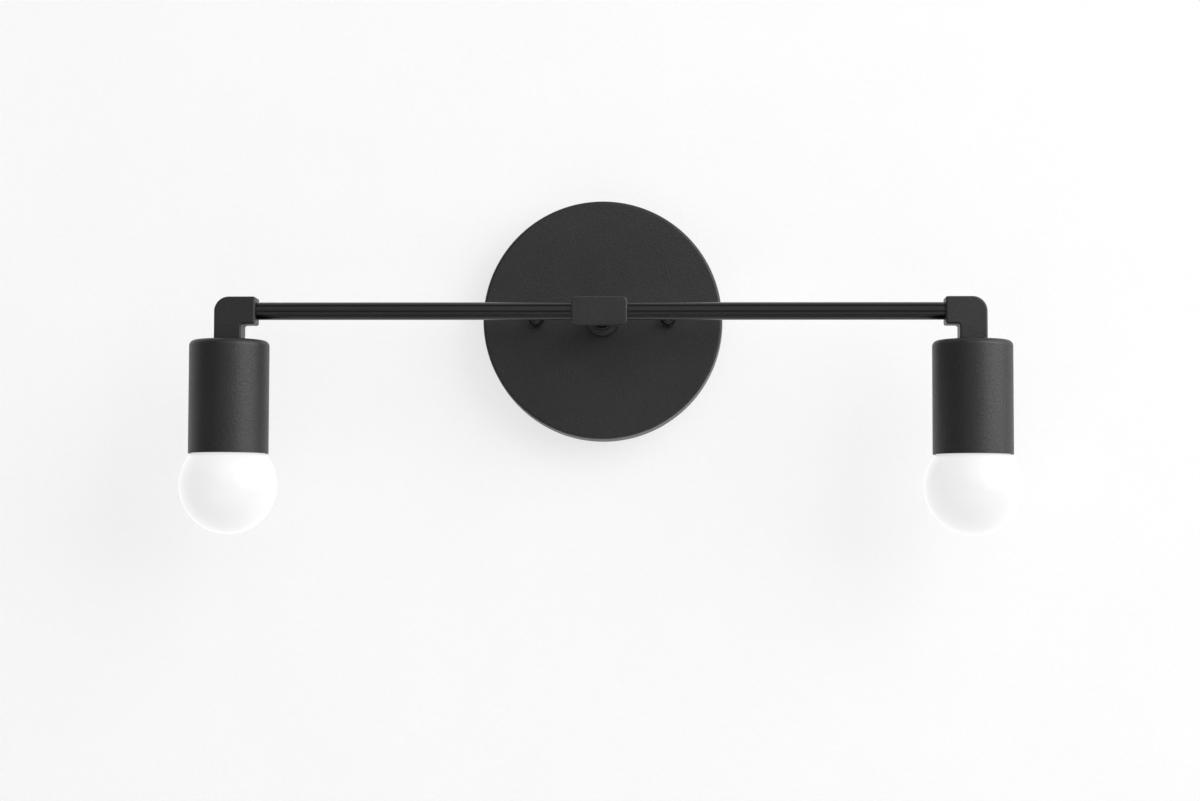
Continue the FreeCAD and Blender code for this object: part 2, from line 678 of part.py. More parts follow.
# Stem and arm tubes
def make_tubes():
    stem_back = f"({COLLAR_FRONT} + collar_seat)"
    stem_front = "(-arm_reach + tee_depth / 2 - tee_stem_seat)"
    keep(pipe("stem_tube", "Y", ("0", stem_front, "0"), f"{stem_back} - {stem_front}",
              "tube_radius", "tube_bore"))
    inner = "(tee_width / 2 - tee_arm_seat)"
    outer = "(socket_offset - elbow_reach + elbow_arm_seat)"
    for side, start in (("left", f"-{outer}"), ("right", inner)):
        keep(pipe(f"{side}_arm_tube", "X", (start, "-arm_reach", "0"), f"{outer} - {inner}",
                  "tube_radius", "tube_bore"))


# Tee: a small solid block that joins the stem to the two arms
def make_tee():
    body = new_body("tee_block")
    feature(body, "AdditiveBox", "tee_solid", "Z",
            ("-tee_width / 2", "-tee_depth / 2", "-tee_height / 2"),
            Length="tee_width", Width="tee_depth", Height="tee_height")
    dress(body, "Fillet", "tee_corners", lambda middle, edge: near(middle.y, "0"), "tee_corner")
    dress(body, "Fillet", "tee_edges",
          lambda middle, edge: near(abs(middle.y), "tee_depth / 2"), "tee_rounding")
    drill(body, "tee_channel", "X", ("-tee_width / 2 - tool_overrun", "0", "0"),
          "channel_radius", "tee_width + 2 * tool_overrun")
    drill(body, "left_arm_seat", "X", ("-tee_width / 2 - tool_overrun", "0", "0"),
          "tube_radius + fit_gap", "tee_arm_seat + tool_overrun")
    drill(body, "right_arm_seat", "X", ("tee_width / 2 - tee_arm_seat", "0", "0"),
          "tube_radius + fit_gap", "tee_arm_seat + tool_overrun")
    drill(body, "stem_channel", "Y", ("0", "0", "0"), "stem_channel_radius", "tee_depth / 2")
    drill(body, "stem_seat", "Y", ("0", "tee_depth / 2 - tee_stem_seat", "0"),
          "tube_radius + fit_gap", "tee_stem_seat + tool_overrun")
    place(body, ("0", "-arm_reach", "0"))
    return keep(body)


# Elbow: a square casting that turns from the arm down to the cup; +X is inboard
def make_elbow(name):
    body = new_body(name)
    half = "elbow_width / 2"
    padded(body, f"{name}_casting", "XZ_Plane", [
        (f"-{half}", half),
        ("elbow_reach", half),
        ("elbow_reach", f"-{half}"),
        (half, f"-{half}"),
        (half, "-elbow_drop"),
        (f"-{half}", "-elbow_drop"),
    ], "elbow_width")

    def across(middle):
        return near(middle.y, "0")

    dress(body, "Fillet", f"{name}_bend",
          lambda m, edge: across(m) and near(m.x, f"-{half}") and near(m.z, half), "elbow_bend")
    dress(body, "Fillet", f"{name}_crook",
          lambda m, edge: across(m) and near(m.x, half) and near(m.z, f"-{half}"), "elbow_crook")
    dress(body, "Fillet", f"{name}_edges",
          lambda m, edge: near(abs(m.y), half) or (across(m) and (
              near(m.x, "elbow_reach") or near(m.z, "-elbow_drop"))), "elbow_rounding")
    drill(body, f"{name}_arm_channel", "X", ("0", "0", "0"), "channel_radius", "elbow_reach")
    drill(body, f"{name}_arm_seat", "X", ("elbow_reach - elbow_arm_seat", "0", "0"),
          "tube_radius + fit_gap", "elbow_arm_seat + tool_overrun")
    drill(body, f"{name}_leg_channel", "Z", ("0", "0", "-elbow_drop"), "channel_radius", "elbow_drop")
    drill(body, f"{name}_nipple_seat", "Z", ("0", "0", "-elbow_drop - tool_overrun"),
          "nipple_radius + fit_gap", "elbow_nipple_seat + tool_overrun")
    return body


# Cup: a deep-drawn sleeve, open below
def make_cup(name):
    body = turned_upright(name, [
        ("nipple_radius + hole_gap", "-elbow_drop"),
        ("cup_radius", "-elbow_drop"),
        ("cup_radius", CUP_MOUTH),
        ("cup_radius - cup_wall", CUP_MOUTH),
        ("cup_radius - cup_wall", WASHER_TOP),
        ("nipple_radius + hole_gap", WASHER_TOP),
    ])
    dress(body, "Fillet", f"{name}_top_edge", ring_at("cup_radius", "z", "-elbow_drop"), "cup_edge")
    dress(body, "Fillet", f"{name}_inner_edge",
          ring_at("cup_radius - cup_wall", "z", WASHER_TOP), "cup_edge - cup_wall")
    dress(body, "Fillet", f"{name}_rim", lambda m, edge: near(m.z, CUP_MOUTH), "cup_rim_rounding")
    return body


# Nipple, washer and nut that clamp the cup to the elbow
def make_cup_fixing(side):
    top = "(-elbow_drop + elbow_nipple_seat)"
    end = f"({BODY_TOP} - bracket_nipple_show)"
    nipple = pipe(f"{side}_socket_nipple", "Z", ("0", "0", end), f"{top} - {end}",
                  "nipple_radius", "nipple_bore")
    washer = pipe(f"{side}_socket_lock_washer", "Z", ("0", "0", NUT_TOP), "pipe_washer_thickness",
                  "pipe_washer_radius", "nipple_radius + fit_gap")
    nut = hexagon(f"{side}_socket_lock_nut", "Z", ("0", "0", BRACKET_TOP),
                  "pipe_nut_flats", "pipe_nut_height", "nipple_radius + fit_gap")
    return [nipple, washer, nut]


# Bracket: a steel strap screwed on the nipple, and the two screws that hold the porcelain to it
def make_bracket(side):
    name = f"{side}_socket_bracket"
    body = new_body(name)
    feature(body, "AdditiveBox", f"{name}_strap", "Z",
            ("-bracket_width / 2", "-bracket_length / 2", BODY_TOP),
            Length="bracket_width", Width="bracket_length", Height="bracket_thickness")
    dress(body, "Fillet", f"{name}_corners",
          lambda m, edge: near(abs(m.x), "bracket_width / 2") and near(abs(m.y), "bracket_length / 2"),
          "bracket_corner")
    through = "bracket_thickness + 2 * tool_overrun"
    drill(body, f"{name}_thread", "Z", ("0", "0", f"{BODY_TOP} - tool_overrun"),
          "nipple_radius + fit_gap", through)
    screws = []
    for end, way in (("front", "-1"), ("back", "1")):
        drill(body, f"{name}_{end}_hole", "Z",
              ("0", f"{way} * bracket_screw_place", f"{BODY_TOP} - tool_overrun"),
              "bracket_screw_radius + fit_gap", through)
        screw = slotted_screw(f"{side}_{end}_bracket_screw", "bracket_screw_radius",
                              "bracket_head_radius", "bracket_head_height",
                              "bracket_thickness + bracket_screw_grip")
        place(screw, ("0", f"{way} * bracket_screw_place", BRACKET_TOP))
        screws.append(screw)
    return [body, group(f"{side}_bracket_screws", screws)]


# Socket body: porcelain with a wiring recess above and the shell's bore below
def make_socket_body(name):
    bore = "shell_bore + shell_wall + shell_gap"
    body = turned_upright(name, [
        ("0", BODY_TOP),
        ("body_radius", BODY_TOP),
        ("body_radius", BODY_END),
        (bore, BODY_END),
        (bore, WEB_END),
        ("0", WEB_END),
    ])
    dress(body, "Fillet", f"{name}_rims",
          lambda m, edge: hasattr(edge.Curve, "Radius") and near(edge.Curve.Radius, "body_radius"),
          "body_rounding")
    feature(body, "SubtractiveBox", f"{name}_recess", "Z",
            ("-recess_length / 2", "-recess_width / 2", WEB_TOP),
            Length="recess_length", Width="recess_width", Height="recess_depth + tool_overrun")
    for end, way in (("front", "-1"), ("back", "1")):
        drill(body, f"{name}_{end}_thread", "Z",
              ("0", f"{way} * bracket_screw_place", f"{BODY_TOP} - bracket_screw_grip"),
              "bracket_screw_radius + fit_gap", "bracket_screw_grip + tool_overrun")
    drill(body, f"{name}_rivet_hole", "Z", ("0", "0", f"{WEB_END} - tool_overrun"),
          "rivet_radius + fit_gap", "web_thickness + 2 * tool_overrun")
    drill(body, f"{name}_hot_thread", "Z", ("-terminal_place", "0", f"{WEB_TOP} - hot_screw_grip"),
          "terminal_screw_radius + fit_gap", "hot_screw_grip + tool_overrun")
    drill(body, f"{name}_neutral_hole", "Z", ("terminal_place", "0", f"{WEB_END} - tool_overrun"),
          "terminal_screw_radius + fit_gap", "web_thickness + 2 * tool_overrun")
    return body


# Socket shell: sheet brass with a flange under the web and a rolled thread inside
def make_shell(name):
    outside = "shell_bore + shell_wall"
    end = f"({WEB_END} - shell_length)"
    body = turned_upright(name, [
        ("shell_flange_hole", WEB_END),
        (outside, WEB_END),
        (outside, end),
        ("shell_bore", end),
        ("shell_bore", f"{WEB_END} - shell_wall"),
        ("shell_flange_hole", f"{WEB_END} - shell_wall"),
    ])
    drill(body, f"{name}_screw_hole", "Z", ("terminal_place", "0", f"{WEB_END} - shell_wall - tool_overrun"),
          "terminal_screw_radius + fit_gap", "shell_wall + 2 * tool_overrun")
    ridge(body, "shell_bore + thread_foot", "(shell_bore - thread_height)", "shell_ridge_width",
          f"({RIDGE_LEVEL} + thread_pitch / 2)", "shell_thread_turns")
    return body


# Centre contact: a folded brass spring, its rivet and the plate under the hot screw
def make_contact(name):
    body = new_body(name)
    tail = "contact_half_length"
    upper = f"({WEB_END} - contact_thickness)"
    pad_top = f"({CONTACT_FACE} + contact_thickness)"
    padded(body, f"{name}_spring", "XZ_Plane", [
        (f"-{tail}", WEB_END),
        ("contact_fold", WEB_END),
        ("contact_fold", f"{upper} - contact_thickness / 2"),
        (tail, CONTACT_FACE),
        (f"-{tail}", CONTACT_FACE),
        (f"-{tail}", pad_top),
        (f"{tail} - contact_thickness / 2", pad_top),
        ("contact_fold - 2 * contact_thickness", upper),
        (f"-{tail}", upper),
    ], "contact_width")
    feature(body, "AdditiveCylinder", f"{name}_rivet", "Z", ("0", "0", upper),
            Radius="rivet_radius", Height="web_thickness + contact_thickness + plate_thickness")
    feature(body, "AdditiveBox", f"{name}_plate", "Z", ("-plate_outer", "-plate_width / 2", WEB_TOP),
            Length="plate_outer + 2 * rivet_radius", Width="plate_width", Height="plate_thickness")
    drill(body, f"{name}_screw_hole", "Z", ("-terminal_place", "0", f"{WEB_TOP} - tool_overrun"),
          "terminal_screw_radius + fit_gap", "plate_thickness + 2 * tool_overrun")
    return body


# Neutral plate and the two terminal screws
def make_terminals(side):
    name = f"{side}_neutral_terminal_plate"
    plate = new_body(name)
    feature(plate, "AdditiveBox", f"{name}_strip", "Z", ("plate_inner", "-plate_width / 2", WEB_TOP),
            Length="plate_outer - plate_inner", Width="plate_width", Height="plate_thickness")
    drill(plate, f"{name}_screw_hole", "Z", ("terminal_place", "0", f"{WEB_TOP} - tool_overrun"),
          "terminal_screw_radius + fit_gap", "plate_thickness + 2 * tool_overrun")
    above = f"({HEAD_SEAT} - {WEB_TOP})"
    hot = slotted_screw(f"{side}_hot_terminal_screw", "terminal_screw_radius", "terminal_head_radius",
                        "terminal_head_height", f"{above} + hot_screw_grip")
    place(hot, ("-terminal_place", "0", HEAD_SEAT))
    neutral = slotted_screw(f"{side}_neutral_terminal_screw", "terminal_screw_radius",
                            "terminal_head_radius", "terminal_head_height",
                            f"{above} + web_thickness + shell_wall")
    place(neutral, ("terminal_place", "0", HEAD_SEAT))
    return plate, hot, neutral


# Bulb: solder tip, black glass, threaded cap and glass globe
def make_bulb(side):
    tip = turned_upright(f"{side}_bulb_tip", [
        ("0", CONTACT_FACE),
        ("tip_face", CONTACT_FACE),
        ("tip_radius", f"{TIP_END} + tip_side"),
        ("tip_radius", TIP_END),
        ("0", TIP_END),
    ])
    insulator = turned_upright(f"{side}_bulb_insulator", [
        ("0", TIP_END),
        ("insulator_top", TIP_END),
        ("cap_lip - fit_gap", LIP_TOP),
        ("cap_lip - fit_gap", f"{LIP_TOP} - insulator_plug"),
        ("0", f"{LIP_TOP} - insulator_plug"),
    ])
    inside = "cap_root - cap_wall"
    skirt_top = f"({CAP_END} + cap_skirt_length)"
    cap = turned_upright(f"{side}_bulb_cap", [
        ("cap_lip", LIP_TOP),
        ("cap_root", f"{LIP_TOP} - cap_shoulder"),
        ("cap_root", f"{skirt_top} + cap_step"),
        ("cap_skirt_radius", skirt_top),
        ("cap_skirt_radius", CAP_END),
        ("cap_skirt_radius - cap_wall", CAP_END),
        ("cap_skirt_radius - cap_wall", f"{skirt_top} - cap_wall / 2"),
        (inside, f"{skirt_top} + cap_step - cap_wall / 2"),
        (inside, f"{LIP_TOP} - cap_shoulder - cap_wall / 2"),
        ("cap_lip", f"{LIP_TOP} - cap_wall"),
    ])
    ridge(cap, "cap_root - thread_foot", "(cap_root + thread_height)", "bulb_ridge_width",
          RIDGE_LEVEL, "bulb_thread_turns")
    return [tip, insulator, cap, make_globe(f"{side}_bulb_globe")]


# Globe: a sphere that runs through a hollow curve into a straight neck
def make_globe(name):
    blend_x = "(neck_radius + neck_blend)"
    blend_z = f"({CAP_END} + neck_tuck)"
    share = "(globe_radius / (globe_radius + neck_blend))"
    inner_share = "((globe_radius - globe_wall) / (globe_radius + neck_blend))"
    neck_top = f"({CAP_END} + neck_seat)"
    body = turned_upright(name, [
        ("neck_radius", neck_top),
        ("neck_radius", blend_z),
        (f"{blend_x} * {share}", f"{GLOBE_CENTRE} + {BLEND_RISE} * {share}", blend_x, blend_z),
        ("globe_radius", GLOBE_CENTRE, "0", GLOBE_CENTRE),
        ("0", f"{GLOBE_CENTRE} - globe_radius", "0", GLOBE_CENTRE),
        ("0", f"{GLOBE_CENTRE} - globe_radius + globe_wall"),
        ("globe_radius - globe_wall", GLOBE_CENTRE, "0", GLOBE_CENTRE),
        (f"{blend_x} * {inner_share}", f"{GLOBE_CENTRE} + {BLEND_RISE} * {inner_share}", "0", GLOBE_CENTRE),
        ("neck_radius - globe_wall", blend_z, blend_x, blend_z),
        ("neck_radius - globe_wall", neck_top),
    ])
    return body


# Leads: a black and a white one from each socket to the wire nuts behind the canopy
def make_leads(side, way):
    step = number("lead_radius + lead_gap / 2")
    offset = number("socket_offset")
    front = -number("arm_reach")
    depth = -number("lead_clearance")
    sweep = number(LEAD_SWEEP)
    end_reach = number("terminal_place - terminal_screw_radius - lead_end_gap")
    for colour, level in (("black", 1), ("white", -1)):
        leg = way * (offset + level * step)
        run = level * (number(LEAD_HEIGHT) - way * level * step)
        points = [
            Vector(way * (offset + level * end_reach), front, number(WIRE_LEVEL)),
            Vector(leg, front, number(WIRE_LEVEL)),
            Vector(leg, front, level * step),
            Vector(way * step, front, level * step),
            Vector(way * step, depth, level * step),
            Vector(way * step, depth, run),
            Vector(level * number(f"{LEAD_NUT} + wire_nut_grip"), depth, run),
        ]
        bends = [
            number("lead_bend_socket"),
            number("lead_bend_elbow") + (step + level * step),
            number("lead_bend_tee"),
            number("lead_bend_canopy"),
            sweep - way * level * step,
        ]
        cable(f"{side}_{colour}_lead", points, bends)


# Ground wire from its screw to its nut
def make_ground_wire():
    across = -number(GROUND_SCREW)
    low = -number("crossbar_thickness + lead_radius + fit_gap")
    high = -number("lead_clearance")
    lift = number("ground_lift")
    top = number(LEAD_HEIGHT)
    points = [
        Vector(across, low, number("ground_screw_radius + lead_end_gap")),
        Vector(across, low, lift),
        Vector(across, high, lift + number("ground_rise")),
        Vector(across, high, top),
        Vector(-number(f"{GROUND_NUT} + wire_nut_grip"), high, top),
    ]
    bend = number("ground_bend")
    cable("ground_wire", points, [bend, bend, bend])


# Wire nuts: plastic cones, closed at one end
def make_wire_nuts():
    pair = "(2 * lead_radius + lead_gap / 2 + wire_nut_gap)"
    single = "(lead_radius + wire_nut_gap)"
    spots = (
        ("black_wire_nut", pair, LEAD_NUT, LEAD_HEIGHT, Rotation()),
        ("white_wire_nut", pair, f"-{LEAD_NUT}", f"-{LEAD_HEIGHT}", TURN_ROUND),
        ("ground_wire_nut", single, f"-{GROUND_NUT}", LEAD_HEIGHT, TURN_ROUND),
    )
    for name, bore, across, height, turn in spots:
        body = turned(name, "XZ_Plane", "H_Axis", [
            ("0", bore),
            ("0", "wire_nut_radius"),
            (NUT_LENGTH, "wire_nut_tip_radius"),
            (NUT_LENGTH, "0"),
            (f"{NUT_LENGTH} - wire_nut_end", "0"),
            (f"{NUT_LENGTH} - wire_nut_end", bore),
        ])
        dress(body, "Fillet", f"{name}_end",
              ring_at("wire_nut_tip_radius", "x", NUT_LENGTH), "wire_nut_rounding")
        place(body, (across, "-lead_clearance", height), turn)
        keep(body)


# Everything on one side's cup axis, made in the cup's frame and put in its place
def make_side(side, way):
    pieces = [make_elbow(f"{side}_elbow"), make_cup(f"{side}_cup")]
    pieces += make_cup_fixing(side)
    pieces += make_bracket(side)
    pieces += [make_socket_body(f"{side}_socket_body"), make_shell(f"{side}_socket_shell")]
    pieces += [make_contact(f"{side}_centre_contact")]
    plate, hot, neutral = make_terminals(side)
    pieces += [plate]
    pieces += make_bulb(side)
    turn = TURN_ROUND if way > 0 else Rotation()
    for piece in pieces:
        place(piece, (f"{way} * socket_offset", "-arm_reach", "0"), turn)
        keep(piece)
    for screw, local in ((hot, -1), (neutral, 1)):
        place(screw, (f"{way} * socket_offset - {way * local} * terminal_place", "-arm_reach", HEAD_SEAT))
        keep(screw)
    make_leads(side, way)


make_canopy()
make_crossbar()
make_stud_set()
make_ground_screw()
make_stem_fixing()
make_collar()
make_tubes()
make_tee()
make_side("left", -1)
make_side("right", 1)
make_ground_wire()
make_wire_nuts()
doc.recompute()

for thing in doc.Objects:
    if "Invalid" in thing.State or "Error" in thing.State:
        raise RuntimeError(f"{thing.Label} failed: {thing.State}")
for piece in made:
    if piece.Shape.isNull() or not piece.Shape.isValid() or not piece.Shape.Solids:
        raise RuntimeError(f"{piece.Label} has no valid solid")
for piece in made:
    piece.Shape.exportStep(f"parts/{piece.Label}.step")
print(len(made), "sub-parts written")
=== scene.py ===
# Two-light vanity fixture: camera, light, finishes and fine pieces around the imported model.
import json
import math
import bmesh
import bpy
import numpy as np
from mathutils import Matrix, Vector


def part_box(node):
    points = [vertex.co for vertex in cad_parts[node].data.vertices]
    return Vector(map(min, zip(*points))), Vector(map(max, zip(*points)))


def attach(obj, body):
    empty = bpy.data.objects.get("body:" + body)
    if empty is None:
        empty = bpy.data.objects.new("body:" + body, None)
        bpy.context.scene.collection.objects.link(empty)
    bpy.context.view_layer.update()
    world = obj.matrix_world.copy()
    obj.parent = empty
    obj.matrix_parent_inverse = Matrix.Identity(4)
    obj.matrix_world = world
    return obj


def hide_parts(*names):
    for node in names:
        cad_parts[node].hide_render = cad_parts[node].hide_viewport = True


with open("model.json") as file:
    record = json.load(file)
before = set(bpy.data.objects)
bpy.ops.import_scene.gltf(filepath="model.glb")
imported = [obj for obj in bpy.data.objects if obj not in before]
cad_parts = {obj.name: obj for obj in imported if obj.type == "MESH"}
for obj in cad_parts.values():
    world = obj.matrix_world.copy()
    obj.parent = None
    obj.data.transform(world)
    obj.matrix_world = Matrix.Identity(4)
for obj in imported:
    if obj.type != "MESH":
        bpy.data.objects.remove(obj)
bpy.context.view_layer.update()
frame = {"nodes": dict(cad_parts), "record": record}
mm = 0.001
print("frame loaded:", len(frame["nodes"]), "nodes")

# Camera: its place and turn come from fitting the fixture's sizes to the photograph
cameraSetup = {
    "place": (43.6 * mm, -1400 * mm, -124.2 * mm),
    "sensor": 36,          # mm
    "lens": 78.14,         # mm
    "yaw": 1.859,          # degrees to the left of straight at the wall
    "pitch": 3.366,        # degrees up
    "roll": 0.146,         # degrees
}


def makeCamera():
    data = bpy.data.cameras.new("camera")
    data.lens = cameraSetup["lens"]
    data.sensor_width = cameraSetup["sensor"]
    camera = bpy.data.objects.new("camera", data)
    bpy.context.scene.collection.objects.link(camera)
    turn = Matrix.Rotation(math.radians(cameraSetup["yaw"]), 4, "Z")
    turn = turn @ Matrix.Rotation(math.radians(90 + cameraSetup["pitch"]), 4, "X")
    turn = turn @ Matrix.Rotation(math.radians(cameraSetup["roll"]), 4, "Z")
    camera.matrix_world = Matrix.Translation(cameraSetup["place"]) @ turn
    bpy.context.scene.camera = camera


makeCamera()
bpy.context.scene.view_settings.view_transform = "Standard"
print("camera set")

# Light: an even grey room, a broad soft window on the right, a pale panel high in front and a long soft
# strip low in front. Each lamp has its direction in degrees to the right and up, its distance and size
# in metres, and its own brightness, where 1 is a white sheet in plain light.
room = {"colour": "#ffffff", "bright": 0.32}
lamps = {
    "window": {"right": 60, "up": 22, "away": 2.4, "size": (2.7, 2.1), "bright": 3.7},
    "highPanel": {"right": 12, "up": 31, "away": 2.5, "size": (2.5, 2.5), "bright": 0.76},
    "lowStrip": {"right": 0, "up": -30, "away": 2.4, "size": (2.8, 0.8), "bright": 0.7},
}


# A sheet of light that looks at the origin; at brightness 1 each square metre sends out pi watts
def softLamp(name, right, up, away, size, bright):
    right, up = math.radians(right), math.radians(up)
    place = away * Vector((math.sin(right) * math.cos(up), -math.cos(right) * math.cos(up), math.sin(up)))
    data = bpy.data.lights.new(name, "AREA")
    data.shape = "RECTANGLE"
    data.size, data.size_y = size
    data.energy = bright * math.pi * size[0] * size[1]
    lamp = bpy.data.objects.new(name, data)
    bpy.context.scene.collection.objects.link(lamp)
    lamp.location = place
    lamp.rotation_mode = "QUATERNION"
    lamp.rotation_quaternion = (-place).to_track_quat("-Z", "Y")
    lamp.visible_camera = False


for lampName, lampSizes in lamps.items():
    softLamp(lampName, **lampSizes)


# Colours are written as sRGB hex values
def linear(hexColour):
    values = [int(hexColour[i:i + 2], 16) / 255 for i in (1, 3, 5)]
    return [v / 12.92 if v <= 0.04045 else ((v + 0.055) / 1.055) ** 2.4 for v in values] + [1.0]


# Adds a node with its settings; an input is a value or the socket that feeds it
def addNode(tree, kind, inputs=None, **settings):
    made = tree.nodes.new(kind)
    for name, value in settings.items():
        setattr(made, name, value)
    for name, value in (inputs or {}).items():
        if isinstance(value, bpy.types.NodeSocket):
            tree.links.new(value, made.inputs[name])
        else:
            made.inputs[name].default_value = value
    return made


# The room lights the fixture evenly from all round, and is what stands behind it in views from the wall
def makeWorld():
    world = bpy.data.worlds.new("room")
    bpy.context.scene.world = world
    world.use_nodes = True
    tree = world.node_tree
    tree.nodes.clear()
    air = addNode(tree, "ShaderNodeBackground", {"Color": linear(room["colour"]), "Strength": room["bright"]})
    addNode(tree, "ShaderNodeOutputWorld", {"Surface": air.outputs[0]})


makeWorld()
print("lamps and room made")

# The middle of a noise's values, which a finish spreads over its colours and its gloss
noiseSpan = {"From Min": 0.3, "From Max": 0.7}


# Makes a finish from two grains of noise, which read the object's own coordinates: the cloud mixes its
# two colours, and the fine grain varies its gloss and raises its surface. A grain is its size in
# millimetres, its detail and its roughness, and a drawn finish has its fine grain stretched. Returns
# the material, its tree, its shader, the coordinates, the colour and the fine grain.
def startFinish(look):
    material = bpy.data.materials.new(look["name"])
    material.use_nodes = True
    tree = material.node_tree
    tree.nodes.clear()
    shader = addNode(tree, "ShaderNodeBsdfPrincipled", look["shader"])
    addNode(tree, "ShaderNodeOutputMaterial", {"Surface": shader.outputs[0]})
    place = addNode(tree, "ShaderNodeTexCoord").outputs["Object"]
    drawn = place
    if "stretch" in look:
        drawn = addNode(tree, "ShaderNodeMapping", {"Vector": place, "Scale": look["stretch"]}).outputs[0]
    grains = {}
    for kind, where in (("cloud", place), ("fine", drawn)):
        size, detail, rough = look[kind]
        grains[kind] = addNode(tree, "ShaderNodeTexNoise", {
            "Vector": where, "Scale": 1 / (size * mm), "Detail": detail, "Roughness": rough}).outputs["Fac"]
    ramp = addNode(tree, "ShaderNodeValToRGB", {"Fac": grains["cloud"]})
    for element, position, colour in zip(ramp.color_ramp.elements, noiseSpan.values(), look["colours"]):
        element.position = position
        element.color = linear(colour)
    tree.links.new(ramp.outputs[0], shader.inputs["Base Color"])
    if "gloss" in look:
        smooth, rough = look["gloss"]
        gloss = addNode(tree, "ShaderNodeMapRange", {
            "Value": grains["fine"], **noiseSpan, "To Min": smooth, "To Max": rough})
        tree.links.new(gloss.outputs[0], shader.inputs["Roughness"])
    if "depth" in look:
        bump = addNode(tree, "ShaderNodeBump", {"Height": grains["fine"], "Distance": look["depth"] * mm})
        tree.links.new(bump.outputs[0], shader.inputs["Normal"])
    return material, tree, shader, place, ramp.outputs[0], grains["fine"]


def makeFinish(look):
    return startFinish(look)[0]


# Polyester powder coat, sprayed and baked on steel: a satin black skin with a fine orange peel
powderCoat = {"name": "black_powder_coat", "shader": {"IOR": 1.5}, "colours": ("#161616", "#1c1c1c"),
              "cloud": (26.0, 2.0, 0.5), "fine": (1.1, 3.0, 0.55), "gloss": (0.40, 0.50), "depth": 0.14}

# The same coat on drawn tube and turned pieces, where it flows out smoother. Its darker colour is partly that
# smoother coat and partly painted shade, for the collar and the cap nuts sit in the shadow of the tee and the
# tube
smoothCoatAndPaintedShade = {**powderCoat, "name": "smooth_black_coat_and_painted_shade", "shader": {"IOR": 1.43},
            "colours": ("#070707", "#0b0b0b"), "fine": (2.5, 3.0, 0.55),
            "gloss": (0.19, 0.25), "depth": 0.006}

# Bright zinc plate on stamped or machined steel: cool grey with faint straw-coloured patches
zincPlate = {"name": "zinc_plated_steel", "shader": {"Metallic": 1.0}, "colours": ("#b9bdc1", "#c2bfb4"),
             "cloud": (7.0, 3.0, 0.5), "fine": (0.6, 4.0, 0.6), "gloss": (0.26, 0.44), "depth": 0.02}

# The other platings differ from zinc in their colour: nickel is warmer, and zinc is dyed green on
# screws for the ground wire
nickelPlate = {**zincPlate, "name": "nickel_plated_steel", "colours": ("#c9c5bb", "#d2cfc7")}
greenPlate = {**zincPlate, "name": "green_dyed_zinc", "colours": ("#1f7a3c", "#2f8a48")}

# Cold-rolled sheet brass, drawn and left bare: warm, with drawing lines round the axis
sheetBrass = {"name": "rolled_sheet_brass", "shader": {"Metallic": 1.0}, "colours": ("#b98f49", "#d9b466"),
              "cloud": (6.0, 3.0, 0.5), "fine": (0.35, 3.0, 0.5), "stretch": (0.08, 0.08, 1.0),
              "gloss": (0.20, 0.38), "depth": 0.012}

# Rolled aluminium of a lamp's cap: pale, bright, with fine lines round the axis
sheetAluminium = {"name": "rolled_aluminium", "shader": {"Metallic": 1.0}, "colours": ("#c4c5c6", "#d6d6d4"),
                  "cloud": (5.0, 2.0, 0.5), "fine": (0.3, 3.0, 0.5), "stretch": (0.06, 0.06, 1.0),
                  "gloss": (0.18, 0.34), "depth": 0.01}

# Tin and lead-free solder, set from a drop: dull, slightly pitted
solderDrop = {"name": "solder", "shader": {"Metallic": 1.0}, "colours": ("#a3a39f", "#bdbdb8"),
              "cloud": (0.9, 3.0, 0.6), "fine": (0.9, 3.0, 0.6), "gloss": (0.32, 0.5), "depth": 0.05}

# Opal glass, blown and coated white inside: smooth and evenly milky. It throws back a quarter of the light.
# Its emission is a painted glow, even all round, which stands in for the light that enters on the bright side
# and passes through the glass; the bulb is no lamp
opalGlassAndPaintedGlow = {"name": "opal_glass_and_painted_glow", "colours": ("#868686", "#8b8b8b"),
             "shader": {"IOR": 1.5, "Roughness": 0.30,
                        "Emission Color": linear("#ffffff"), "Emission Strength": 0.665},
             "cloud": (18.0, 1.0, 0.5), "fine": (18.0, 1.0, 0.5), "depth": 0.03}

# Black vitreous glass, pressed while soft around the cap's contact: glossy, with faint waves
blackGlass = {"name": "black_vitreous_glass", "shader": {"IOR": 1.46}, "colours": ("#141416", "#1a1a1d"),
              "cloud": (9.0, 2.0, 0.5), "fine": (1.5, 3.0, 0.5), "gloss": (0.10, 0.18), "depth": 0.01}

# Extruded vinyl on wire: an even satin skin with a fine grain
blackVinyl = {"name": "black_wire_insulation", "shader": {"IOR": 1.46}, "colours": ("#1a1a1a", "#202020"),
              "cloud": (9.0, 2.0, 0.5), "fine": (0.5, 3.0, 0.5), "gloss": (0.34, 0.46), "depth": 0.02}
whiteVinyl = {**blackVinyl, "name": "white_wire_insulation", "colours": ("#deddd8", "#e8e7e2")}
greenVinyl = {**blackVinyl, "name": "green_wire_insulation", "colours": ("#1f7a3d", "#26874a")}

# Moulded polypropylene: duller than vinyl, with the spark-eroded grain of its mould
greenNut = {**blackVinyl, "name": "green_nut_plastic", "colours": ("#1f7d42", "#27884b"),
            "gloss": (0.40, 0.52)}
orangeNut = {**greenNut, "name": "orange_nut_plastic", "colours": ("#d9601c", "#e06a24")}

# Electrical porcelain, pressed and glazed: warm white with a few iron specks. A speck is a spot in the
# middle of a cell, with its edge between two shares of the cell's size.
porcelain = {"name": "glazed_porcelain", "colours": ("#e6e3da", "#efece5"),
             "shader": {"IOR": 1.5, "Coat Weight": 0.7, "Coat Roughness": 0.04},
             "cloud": (8.0, 2.0, 0.5), "fine": (3.0, 2.0, 0.5), "gloss": (0.18, 0.28),
             "speck": "#8f8370", "cell": 2.5, "speckEdge": (0.05, 0.09)}


